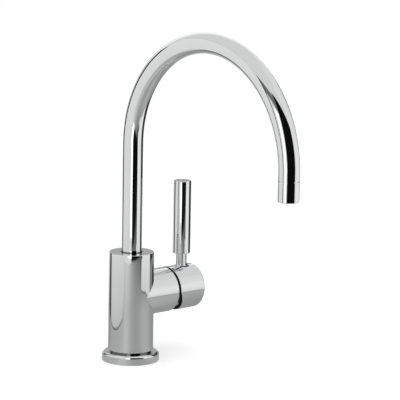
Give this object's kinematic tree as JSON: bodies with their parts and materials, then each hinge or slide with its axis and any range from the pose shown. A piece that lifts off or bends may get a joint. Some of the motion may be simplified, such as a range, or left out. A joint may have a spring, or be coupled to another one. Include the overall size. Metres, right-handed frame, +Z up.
{
  "type": "kitchen mixer tap",
  "caption": "Single-lever kitchen mixer tap with a round body, a side lever on a tilting hub and a high-arc swivelling spout.",
  "frame": {"origin": "centre of the base flange's underside, on the worktop and on the axis of the body and of the spout's swivel", "axes": "+Z up; the spout reaches out along -Y, towards the basin; the side barrel and the lever hub lie along +X, on the user's right"},
  "size_m": [0.1176, 0.282, 0.3687],
  "materials": {
    "chrome_shell": "polished chrome plate on brass",
    "black_rubber": "moulded EPDM",
    "white_acetal": "satin acetal",
    "grey_plastic": "moulded plastic",
    "pale_plastic": "moulded plastic",
    "disc_ceramic": "lapped alumina",
    "raw_brass": "turned brass",
    "steel": "stainless steel"
  },
  "bodies": {
    "base": {"base_flange": "chrome_shell", "base_gasket": "black_rubber", "foot_seal": "black_rubber", "mixer_body": "chrome_shell", "thrust_washer": "white_acetal", "glide_ring": "white_acetal", "swivel_stop_screw": "steel", "port_seals": "black_rubber", "cartridge_base": "grey_plastic", "disc_seals": "black_rubber", "fixed_disc": "disc_ceramic", "cartridge_housing": "grey_plastic", "cartridge_nut": "raw_brass"},
    "spout": {"spout_foot": "raw_brass", "spout_seals": "black_rubber", "spout_tube": "chrome_shell", "outlet_sleeve": "chrome_shell", "aerator_body": "grey_plastic", "aerator_grid": "pale_plastic", "aerator_filter": "pale_plastic", "aerator_seal": "black_rubber"},
    "rotor": {"cartridge_rotor": "white_acetal", "pivot_pin": "steel"},
    "lever": {"spindle": "steel", "lever_hub": "chrome_shell", "rim_ring": "black_rubber", "hub_screw": "steel", "screw_cap": "chrome_shell", "lever_stem": "chrome_shell", "lever_grip": "chrome_shell"},
    "driver": {"disc_driver": "white_acetal", "moving_disc": "disc_ceramic"}
  },
  "joints": [
    {"name": "spout_swivel", "type": "hinge", "parent": "base", "child": "spout", "pos_m": [0, 0, 0.105], "axis": [0, 0, 1], "range_deg": [-60, 60]},
    {"name": "temperature_turn", "type": "hinge", "parent": "base", "child": "rotor", "pos_m": [0.04546, 0, 0.072], "axis": [1, 0, 0], "range_deg": [-45, 45]},
    {"name": "flow_tilt", "type": "hinge", "parent": "rotor", "child": "lever", "pos_m": [0.04546, 0, 0.072], "axis": [0, 1, 0], "range_deg": [0, 20]},
    {"name": "disc_slide", "type": "slide", "parent": "rotor", "child": "driver", "axis": [0, 0, 1], "range_m": [0, 0.0045]}
  ],
  "couplings": [
    {"joint": "disc_slide", "follows": "flow_tilt", "m_per_rad": 0.01277}
  ]
}
